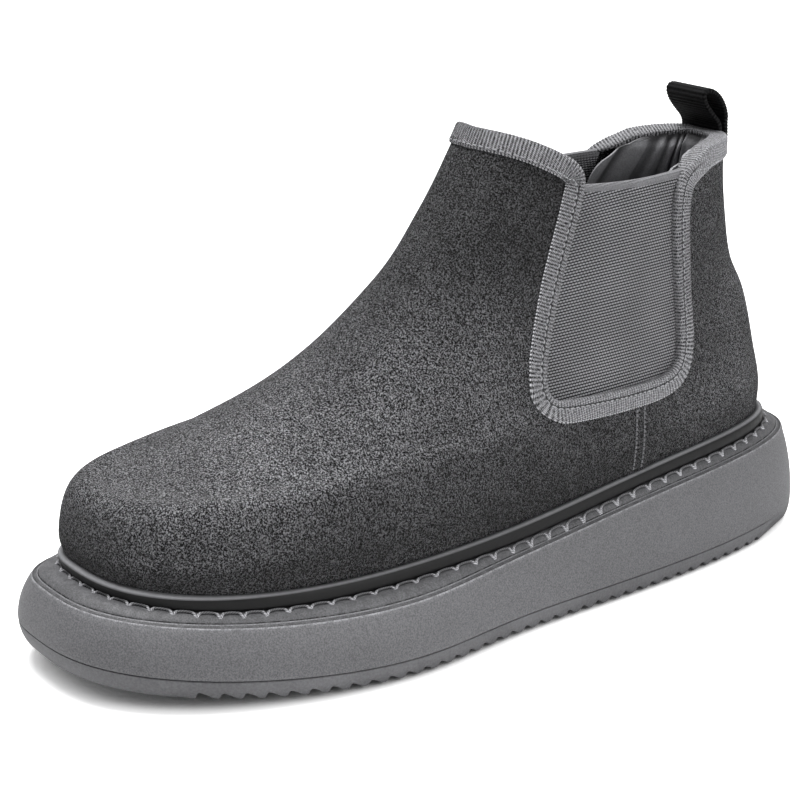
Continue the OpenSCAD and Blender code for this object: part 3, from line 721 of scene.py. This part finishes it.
def gore(name, side):
    z = np.concatenate([np.linspace(62, 137.4, 90), [138.0, 138.5, 138.9, 139.15, 139.25]])
    f = np.linspace(0, 1, 60)
    front = 14.6 + (37.4 - 14.6) * np.clip((z - 76) / 63, 0, 1) - 5.4
    back = np.full(z.shape, 82.0)
    y = front[:, None] + (back - front)[:, None] * f[None, :]
    zz = z[:, None] + np.zeros_like(y) - 0.9 * ramp(z, 120, 139)[:, None] * np.sin(np.pi * f)[None, :]
    u, v = from_side(y, zz)
    if side < 0:
        u = -u
    roll = np.clip((z - 137.4) / 1.85, 0, 1)[:, None]
    hem = 0.35 * ramp(z, 134.0, 135.2)[:, None] * np.ones_like(y)
    belly = 0.5 * np.sin(np.pi * f)[None, :] * ramp(z, 60, 90)[:, None] * (1 - 0.5 * ramp(z, 120, 139)[:, None])
    top = MID_TOP + 0.25 + belly + hem - 1.0 * (1 - np.sqrt(1 - roll ** 2))
    bottom = MID_BOTTOM + 0.2 + belly - hem * 0.5 + 0.5 * (1 - np.sqrt(1 - roll ** 2))
    outer = layer(u, v, top)
    inner = layer(u, v, bottom)
    s = np.concatenate([np.zeros((len(z), 1)), np.cumsum(np.linalg.norm(np.diff(outer, axis=1), axis=2), axis=1)], 1)
    s = s - s[:, 30:31]
    t = np.concatenate([np.zeros((1, 60)), np.cumsum(np.linalg.norm(np.diff(outer, axis=0), axis=2), axis=0)], 0)
    o = fix_normals(shell(name, outer, inner, gore_cloth, np.stack([s, t, t[-6:-5] - t], -1)))
    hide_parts(name)
    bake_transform(o)
    return o


gore("gore_lateral", 1)
gore("gore_medial", -1)

# ---------------------------------------------------------------------- binding
half_run = face(PATH[:, 0], PATH[:, 1])
full_uv = np.concatenate([PATH, np.stack([360 - PATH[-2::-1, 0], PATH[-2::-1, 1]], -1)])[:-1]
full_points = face(full_uv[:, 0], full_uv[:, 1])
loop_run = along(np.concatenate([full_points, full_points[:1]]))
TOTAL = loop_run[-1]


def edge_uv(s):
    s = np.mod(s, TOTAL)
    u = np.interp(s, loop_run, np.concatenate([full_uv[:, 0], [360.0]]))
    v = np.interp(s, loop_run, np.concatenate([full_uv[:, 1], full_uv[:1, 1]]))
    return u, v


def edge_frame(s):
    u, v = edge_uv(s)
    a, b = edge_uv(s - 1.2), edge_uv(s + 1.2)
    t = unit(face(*b) - face(*a))
    n = normal(u, v)
    return u, v, t, n, unit(np.cross(n, t))


def off_edge(s, w):
    """u, v of a point w mm off the suede edge, positive away from the suede."""
    u, v, t, n, out = edge_frame(s)
    step = out * np.asarray(w)[..., None]
    su = (face(u + 1, v) - face(u - 1, v)) / 2
    sv = (face(u, v + 0.005) - face(u, v - 0.005)) / 0.01
    a, b, c = (su * su).sum(-1), (su * sv).sum(-1), (sv * sv).sum(-1)
    det = a * c - b * b
    pu, pv = (su * step).sum(-1), (sv * step).sum(-1)
    return u + (pu * c - pv * b) / det, v + (pv * a - pu * b) / det


def turn_in(v):
    deep = -LINING_BOTTOM + 0.5
    return SUEDE + 0.35 + (deep - SUEDE - 0.35) * ramp(v, 0.9, 0.955)


RIB = 1.18


top_front = float(along(half_run)[59])
top_back = float(along(half_run)[-60])


def beside_gore(s):
    """1 where the ribbon runs beside the gore, 0 along the topline."""
    s = np.minimum(s, TOTAL - s)
    return ramp(s, top_front + 2, top_front + 14) * (1 - ramp(s, top_back - 14, top_back - 2))


def ribbon(s):
    """Cross-sections of the folded ribbon at run s: outside leg, fold, inside leg."""
    rib = 0.5 - 0.5 * np.cos(2 * np.pi * s / RIB)
    h = 0.28 * rib
    profile = [(-BINDING, 0.02), (-BINDING - 0.06, 0.3), (-BINDING + 0.12, 0.62), (-BINDING + 0.9, 0.82), (-4.3, 0.86),
               (-3.0, 0.86), (-1.6, 0.9), (-0.4, 0.95), (0.25, 0.86), (0.72, 0.55), (0.95, 0.1)]
    pts, fabs = [], []
    run = 0.0
    last = None
    for w, d in profile:
        wob = w - (0.6 * h if w < -BINDING + 0.2 else 0.0)
        uu, vv = off_edge(s, np.full(s.shape, wob))
        p = layer(uu, vv, d + h * (0.6 if w < -BINDING + 0.2 else 1.0))
        if last is not None:
            run += float(np.hypot(w - last[0], d - last[1]))
        last = (w, d)
        pts.append(p)
        fabs.append(run)
    uu, vv = off_edge(s, np.full(s.shape, 0.95))
    deep = turn_in(vv)
    for k, f in enumerate((0.35, 0.7, 1.0)):
        pts.append(layer(uu, vv, 0.1 - (deep + 0.1) * f + (h if k < 2 else 0)))
        fabs.append(run + 2.0 * (k + 1))
    for w in (0.5, 0.0, -0.9):
        uu, vv = off_edge(s, np.full(s.shape, w))
        back = turn_in(vv)
        inside = np.where(back > 3, -back - 0.1, -SUEDE - 0.3)
        pts.append(layer(uu, vv, inside))
        fabs.append(run + 8.0)
    for w, d in ((-0.9, -0.3), (-BINDING * 0.8, -0.1)):
        uu, vv = off_edge(s, np.full(s.shape, w))
        pts.append(layer(uu, vv, d))
        fabs.append(run + 8.0)
    sections = np.stack(pts, 1)
    fab = np.stack([np.repeat(s[:, None], sections.shape[1], 1),
                    np.repeat(np.array(fabs)[None, :], len(s), 0),
                    np.repeat(beside_gore(s)[:, None], sections.shape[1], 1)], -1)
    return sections, fab


ribs = round(TOTAL / RIB)
RIB = TOTAL / ribs
run_s = np.linspace(0, TOTAL, ribs * 6 + 1)[:-1]
sections, fab = ribbon(run_s)
# the groove inset carries a painted shade stripe where the ribbon runs beside the gore
grosgrain = ribbed_material("grosgrain_ribbon", 0.004, 0.5, RIB, fleck=0.6, beads=((0.35, 0.45),), groove=5.35)
binding = tube("binding", sections, grosgrain, closed=True, fab=fab)
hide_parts("binding_front", "binding_back")
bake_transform(binding)


def thread_run(points, normals, radius, sides=8):
    """Round tube sections along points, m x sides x 3."""
    t = unit(np.gradient(points, axis=0))
    b = unit(np.cross(t, normals))
    n = np.cross(b, t)
    ang = np.linspace(0, 2 * np.pi, sides, endpoint=False)
    r = np.asarray(radius)
    r = r[:, None, None] if r.ndim else r
    return points[:, None, :] + r * (np.cos(ang)[None, :, None] * n[:, None, :] + np.sin(ang)[None, :, None] * b[:, None, :])


def join_tubes(name, tubes, material, holes=None):
    pts, faces, fab, base = [], [], [], 0
    for sec in tubes:
        m, k = sec.shape[:2]
        pts.append(sec.reshape(-1, 3))
        faces += grid_faces(m, k, base, wrap=True).tolist()
        faces += [[base + j for j in range(k)][::-1], [base + (m - 1) * k + j for j in range(k)]]
        run = along(sec.mean(1))
        fab.append(np.stack([np.repeat(run[:, None], k, 1), np.repeat(np.arange(k)[None, :] * 0.4, m, 0), np.zeros((m, k))], -1).reshape(-1, 3))
        base += m * k
    fab = np.concatenate(fab)
    fab[:, 2] = 1.0 if holes is None else np.concatenate(holes)
    return fix_normals(mesh(name, np.concatenate(pts), faces, material, fab))


def edge_stitches(name, offset, pitch, length, height, radius, keep=None):
    count = int(TOTAL / pitch)
    tubes = []
    for i in range(count):
        s0 = (i + 0.5) * TOTAL / count
        if keep is not None and not keep(s0):
            continue
        s = s0 + np.linspace(-length / 2, length / 2, 7)
        u, v = off_edge(s, offset(s))
        bow = 1 - (np.linspace(-1, 1, 7) ** 2)
        p = layer(u, v, height - 0.35 + 0.45 * bow ** 0.6)
        tubes.append(thread_run(p, normal(u, v), radius * (0.55 + 0.45 * bow ** 0.5), 6))
    return join_tubes(name, tubes, fine_thread)


def row_offset(s):
    """Along the topline the row runs at the suede edge, beside the gore at the gore edge."""
    return -BINDING + 1.0 + (BINDING - 2.9) * beside_gore(s)


stitch_out = edge_stitches("binding_stitching_back", row_offset, 2.3, 1.45, 1.05, 0.24)
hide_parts("binding_stitching_back", "binding_stitching_front")
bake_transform(stitch_out)

# ---------------------------------------------------------------- side seams
seam_tubes = []
for flip in (1, -1):
    for row in (1.3, 3.1):
        v = 0.066
        while v < 0.26:
            vv = v + np.linspace(0, 0.0095, 6)
            u = seam(vv) + VAMP_SEAM_EXTRA - row
            bow = 1 - np.linspace(-1, 1, 6) ** 2
            p = layer(flip * u, vv, 0.85 + 0.35 * bow ** 0.6)
            seam_tubes.append(thread_run(p, normal(flip * u, vv), 0.24 + 0.1 * bow, 6))
            v += 0.0145
seams = join_tubes("seam_stitching", seam_tubes, seam_thread)
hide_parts("seam_stitching")
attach(seams, "boot")

# ------------------------------------------------------------------------ sole
A = np.arange(0, 360, 0.75)


def lifted(t, lift):
    p = outline(A, t)
    return np.stack([p[:, 0], p[:, 1], lift(p[:, 1])], -1)


def between(k):
    return lambda y: (spring(y) + OUTSOLE) * (1 - k) + ledge_z(y) * k


# top of the midsole from the shoulder in to the seat: inset, height over the ledge
TOP = [(3.3, -0.95), (3.5, -0.5), (3.72, -0.18), (3.95, -0.02), (4.15, 0.0), (4.28, -0.16), (4.36, -0.42), (4.5, -0.46),
       (4.6, -0.1), (4.75, 0.02), (4.9, -0.04), (5.0, 0.2), (5.15, 0.26), (5.27, 0.16), (5.4, 0.42), (5.55, 0.5),
       (5.66, 0.12), (5.8, 0.16), (5.9, 0.72), (6.2, 1.1), (6.6, 1.5), (7.1, 1.95), (7.6, 2.28), (8.2, 2.52), (9.0, 2.7),
       (10.5, 2.83), (13.0, 2.9), (16.0, 2.9)]


def inset_at(x, y):
    """How far in from the sole's outline a point of the plan lies."""
    lo, hi = np.full(x.shape, -1.0), np.full(x.shape, 40.0)
    for _ in range(26):
        t = (lo + hi) / 2
        c = np.clip(-y / (HALF - t), -1, 1)
        a = np.degrees(np.arccos(c)) * np.where(x >= 0, 1, -1)
        wide = np.abs(outline(a, t)[..., 0]) > np.abs(x)
        wide &= np.abs(y) < HALF - t
        lo, hi = np.where(wide, t, lo), np.where(wide, hi, t)
    return lo


def top_z(x, y):
    t = inset_at(x, y)
    return ledge_z(y) + np.interp(t, [q[0] for q in TOP], [q[1] for q in TOP])


mid_profile = [(1.5, lambda y: spring(y) + OUTSOLE + 0.3), (-0.95, lambda y: spring(y) + OUTSOLE + 0.3),
               (-1.08, lambda y: spring(y) + OUTSOLE + 0.36), (-1.14, lambda y: spring(y) + OUTSOLE + 0.6)]
for k in (0.1, 0.18, 0.26, 0.34, 0.42, 0.5, 0.58, 0.66, 0.74, 0.81, 0.87, 0.92):
    mid_profile.append((-1.2 + 5.0 * k ** 2.15, between(k)))
for t, dz in TOP:
    mid_profile.append((t, (lambda dz: lambda y: ledge_z(y) + dz)(dz)))
mid_loops = [lifted(t, f) for t, f in mid_profile]


def inside(d, lift, n=len(A)):
    a = np.arange(n) * 360 / n
    p = layer(a, 0.02, d)
    return np.stack([p[:, 0], p[:, 1], lift(p[:, 1])], -1)


mid_loops += [inside(-8.8, lambda y: seat_z(y)), inside(-9.4, lambda y: seat_z(y) - 0.4), inside(-9.6, lambda y: seat_z(y) - 5)]
mid_inset = np.array([t for t, _ in mid_profile] + [9.0] * 3)
mid_fab = np.zeros((len(mid_loops), len(A), 3))
mid_fab[..., 0] = mid_inset[:, None]
midsole = stack("midsole", np.stack(mid_loops), foam, mid_fab)
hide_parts("midsole")
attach(midsole, "boot")

PITCH, DEPTH, LAND = 6.5, 2.7, 1.2
first, last = -math.floor(125 / PITCH), math.floor(115 / PITCH)
ys, zs = [], []
for i in range(20):
    ys.append(-HALF * math.cos(math.radians(i * 1.5)))
    zs.append(0.6 - 0.6 * i / 19)
for i in range(first, last + 1):
    for dy, z in ((-LAND / 2, 0.12), (-LAND / 2 + 0.2, 0.0), (LAND / 2 - 0.1, 0.0), (LAND / 2, 0.15), (LAND / 2 + 0.35, 1.1),
                  (LAND / 2 + 0.75, 2.1), (LAND / 2 + 1.15, DEPTH - 0.1), (LAND / 2 + 1.5, DEPTH), (LAND / 2 + 2.6, 2.25),
                  (LAND / 2 + 3.9, 1.4), (PITCH - LAND / 2 - 0.5, 0.55)):
        y = i * PITCH + dy
        if ys and y <= ys[-1] + 0.05:
            continue
        ys.append(y)
        zs.append(z)
ys.append((last + 1) * PITCH - LAND / 2)
zs.append(0.0)
for i in range(18, -1, -1):
    y = HALF * math.cos(math.radians(i * 1.25))
    if y <= ys[-1] + 0.05:
        continue
    ys.append(y)
    zs.append(3.2 - 3.2 * i / 18)
ys, zs = np.array(ys), np.array(zs)
around = np.degrees(np.arccos(np.clip(-ys / HALF, -1, 1)))
foot = np.where((ys < -131.5) | (ys > 122), zs, 0.0)
ring_a = np.concatenate([around, -around[-2:0:-1]])
ring_z = np.concatenate([zs, zs[-2:0:-1]])
ring_foot = np.concatenate([foot, foot[-2:0:-1]])
sole_loops = []
for k in (0.0, 0.03, 0.07, 0.13, 0.21, 0.31, 0.43, 0.56, 0.7, 0.83, 0.92, 0.97, 1.0, 1.0):
    z = ring_z + (OUTSOLE - ring_z) * k
    t = np.interp(z - ring_foot, [0.0, 0.12, 0.4, 0.9, 1.7, 2.6, 3.7, 5.0, 6.3, 6.5, 6.6],
                  [1.9, 1.4, 0.9, 0.5, 0.1, -0.3, -0.65, -0.95, -1.08, -1.02, -0.8])
    if len(sole_loops) == 13:
        t = t + 2.0
    p = outline(ring_a, t)
    sole_loops.append(np.stack([p[:, 0], p[:, 1], spring(p[:, 1]) + z], -1))
outsole = stack("outsole", np.stack(sole_loops), rubber)
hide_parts("outsole")
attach(outsole, "boot")

# rand
ru = np.arange(0, 360, 0.75)
rand_profile = [(-0.1, 0.05), (-0.1, 2.4), (0.25, 3.0), (0.9, 3.2), (1.8, 3.15), (2.8, 3.0), (3.6, 2.8), (4.15, 2.6), (4.6, 2.35), (4.85, 1.9),
                (4.9, 1.3), (4.8, 0.05), (2.4, 0.02)]
rand_from_top = [9, 9, 5, 4, 3, 2.2, 1.6, 1.05, 0.55, 0.2, 0, 0, 9]
rand_sections = np.stack([layer(ru, base_v(ru, h), d) for h, d in rand_profile], 1)
for k in (0, 1, 2):
    q = rand_sections[:, k]
    q[:, 2] = top_z(q[:, 0], q[:, 1]) + (-0.15, -0.15, 0.45)[k]
rand_fab = np.zeros(rand_sections.shape)
rand_fab[..., 0] = np.array(rand_from_top)[None, :]
rand = tube("rand", rand_sections, rand_skin, closed=True, fab=rand_fab)
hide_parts("rand")
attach(rand, "boot")

# sole stitches: arcs that bow towards the rand and dip into the holes between them
def foot_point(u, d):
    p = layer(u, base_v(u, 0.15), d)
    return np.stack([p[..., 0], p[..., 1], top_z(p[..., 0], p[..., 1])], -1)


sa = np.arange(0, 360.01, 0.5)
foot_line = foot_point(sa, 4.2)
pace = 7.1 + 0.9 * ramp(foot_line[:, 1], -95, -50)
s_run = np.concatenate([[0], np.cumsum(np.linalg.norm(np.diff(foot_line, axis=0), axis=1) / (pace[1:] + pace[:-1]) * 2)])
count = round(s_run[-1])
tubes, holes = [], []
for i in range(count):
    w = np.linspace(0, 1, 17)
    a = np.interp((i + 0.02 + 0.96 * w) * s_run[-1] / count, s_run, sa)
    bow = np.sin(np.pi * w)
    p = foot_point(a, 5.15 - 1.45 * bow ** 0.5)
    p[:, 2] += -0.5 + 1.0 * np.clip(bow * 2.6, 0, 1) ** 0.7
    up = np.tile(np.array([[0.0, 0.0, 1.0]]), (17, 1))
    tubes.append(thread_run(p, up, 0.52 - 0.12 * np.clip(bow * 2, 0, 1), 8))
    # fab.z, 1 at the holes: there the welt thread gets its painted highlight
    holes.append(np.repeat(np.clip(1 - bow * 1.7, 0, 1), 8))
sole_stitching = join_tubes("sole_stitching", tubes, welt_thread, holes)
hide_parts("sole_stitching")
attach(sole_stitching, "boot")

# footbed
bed = [inside(LINING_BOTTOM - 2.6, lambda y: seat_z(y) + 2.5, 240), inside(LINING_BOTTOM - 2.35, lambda y: seat_z(y) + 3.2, 240),
       inside(LINING_BOTTOM - 2.4, lambda y: seat_z(y) + 4.6, 240), inside(LINING_BOTTOM - 2.9, lambda y: seat_z(y) + 5.6, 240),
       inside(LINING_BOTTOM - 3.8, lambda y: seat_z(y) + 6.1, 240), inside(LINING_BOTTOM - 8.0, lambda y: seat_z(y) + 6.0, 240)]
footbed = stack("footbed", np.stack(bed), footbed_cloth)
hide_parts("footbed")
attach(footbed, "footbed")

# -------------------------------------------------------------------- pull tab
tab_lo, tab_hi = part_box("pull_tab")
TAB = np.array([[117.0, 142.7], [116.9, 145.7], [116.7, 148.4], [116.9, 151.4], [114.5, 156.6], [110.9, 159.7], [107.6, 160.5], [105.9, 159.1],
                [107.0, 155.7], [109.9, 152.2], [113.7, 148.4], [114.3, 145.2], [114.1, 142.2]])
tab_line = arc_points(np.vstack([2 * TAB[0] - TAB[1], TAB, 2 * TAB[-1] - TAB[-2]]), 14)
tan = unit(np.gradient(tab_line, axis=0))
nor = np.stack([tan[:, 1], -tan[:, 0]], -1)
run = along(tab_line)
half = 10.0
xs = np.array([-1, -0.985, -0.9, -0.6, -0.3, 0, 0.3, 0.6, 0.9, 0.985, 1.0])
tab_sections, tab_fab = [], []
for i, (p, n) in enumerate(zip(tab_line, nor)):
    rib = 0.12 * math.sin(2 * math.pi * run[i] / 1.1)
    row, f = [], []
    for side in (1, -1):
        for x in (xs if side > 0 else xs[::-1]):
            edge = 0.5 if abs(x) > 0.99 else 1.0
            q = p + n * side * (0.75 * edge + rib)
            row.append((x * half, q[0], q[1]))
            f.append((run[i], x * half + 20, 0))
    tab_sections.append(row)
    tab_fab.append(f)
pull = tube("pull_tab", np.array(tab_sections), webbing, fab=np.array(tab_fab))
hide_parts("pull_tab")
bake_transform(pull)

# ------------------------------------------------- CAD nodes that stay as built
carried = {
    "shank": board_material("spring_steel", (0.45, 0.45, 0.47), 0.32, 300, 1.0),
    "bottom_filler": board_material("cork_filler", (0.36, 0.24, 0.13), 0.9, 420),
    "insole_board": board_material("fibre_board", (0.42, 0.33, 0.22), 0.85, 700),
    "toe_puff": board_material("stiffener", (0.55, 0.54, 0.5), 0.8, 800),
    "collar_foam": board_material("collar_foam", (0.55, 0.53, 0.42), 0.95, 1500),
    "pull_tab_tails": webbing,
    "pull_tab_stitching": fine_thread,
}
carried["heel_counter"] = carried["toe_puff"]
for n, m in carried.items():
    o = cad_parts[n]
    o.data.materials.clear()
    o.data.materials.append(m)

# ----------------------------------------------------------------------- stage
bpy.ops.mesh.primitive_plane_add(size=8, location=(0, 0, -0.0004))
floor = bpy.context.object
floor.name = "floor"
p = Paint("floor_paper")
# painted light: the floor emits for camera rays only, weaker where ambient occlusion finds the sole close by (painted
# shade under and beside it) and stronger towards the heel end
camera_ray = p.add("ShaderNodeLightPath").outputs["Is Camera Ray"]
clear = p.add("ShaderNodeAmbientOcclusion", {"Distance": 0.02}, samples=8)
where = p.add("ShaderNodeSeparateXYZ", {0: p.where()})
glow = p.math("MULTIPLY", p.span(clear.outputs["AO"], 0.2, 0.5, 0.0, 1.0), p.span(where.outputs[1], -0.09, 0.02, 0.62, 0.85))
floor.data.materials.append(p.done((0.93, 0.93, 0.93, 1), 0.9, Specular_IOR_Level=0.1,
                                   Emission_Color=(1, 1, 1, 1), Emission_Strength=p.math("MULTIPLY", camera_ray, glow)))

world = bpy.data.worlds.new("studio")
bpy.context.scene.world = world
world.use_nodes = True
tree = world.node_tree
tree.nodes["Background"].inputs[0].default_value = (1, 1, 1, 1)
seen = tree.nodes.new("ShaderNodeLightPath")
level = tree.nodes.new("ShaderNodeMapRange")
level.inputs["To Min"].default_value = 0.26
level.inputs["To Max"].default_value = 1.0
tree.links.new(seen.outputs["Is Camera Ray"], level.inputs["Value"])
tree.links.new(level.outputs[0], tree.nodes["Background"].inputs[1])


def softbox(name, place, aim, size, power):
    d = bpy.data.lights.new(name, "AREA")
    d.shape = "RECTANGLE"
    d.size, d.size_y = size
    d.energy = power
    o = bpy.data.objects.new(name, d)
    bpy.context.scene.collection.objects.link(o)
    o.location = place
    o.rotation_mode = "QUATERNION"
    o.rotation_quaternion = (Vector(aim) - Vector(place)).to_track_quat("-Z", "Y")


softbox("key", (-0.2, -0.18, 1.3), (0, 0, 0.05), (0.6, 0.6), 21)
softbox("side", (1.1, 0.45, 0.6), (0, 0.04, 0.05), (0.6, 0.6), 6.5)
softbox("rim", (-0.9, 0.9, 0.9), (0, 0, 0.08), (0.8, 0.8), 6)

AZ, EL, LENS_PX, DIST = math.radians(56.0), math.radians(17.5), 2200.0, 0.775
target = Vector((-0.030, 0.005, 0.055))
back = Vector((math.sin(AZ) * math.cos(EL), -math.cos(AZ) * math.cos(EL), math.sin(EL)))
cam_data = bpy.data.cameras.new("camera")
cam_data.sensor_width = 36.0
cam_data.lens = LENS_PX / 800.0 * 36.0
cam = bpy.data.objects.new("camera", cam_data)
bpy.context.scene.collection.objects.link(cam)
cam.location = target + back * DIST
cam.rotation_mode = "QUATERNION"
cam.rotation_quaternion = (-back).to_track_quat("-Z", "Y")
cam_data.clip_start, cam_data.clip_end = 0.01, 20
bpy.context.scene.camera = cam
bpy.context.scene.view_settings.view_transform = "Standard"
bpy.context.scene.view_settings.look = "None"
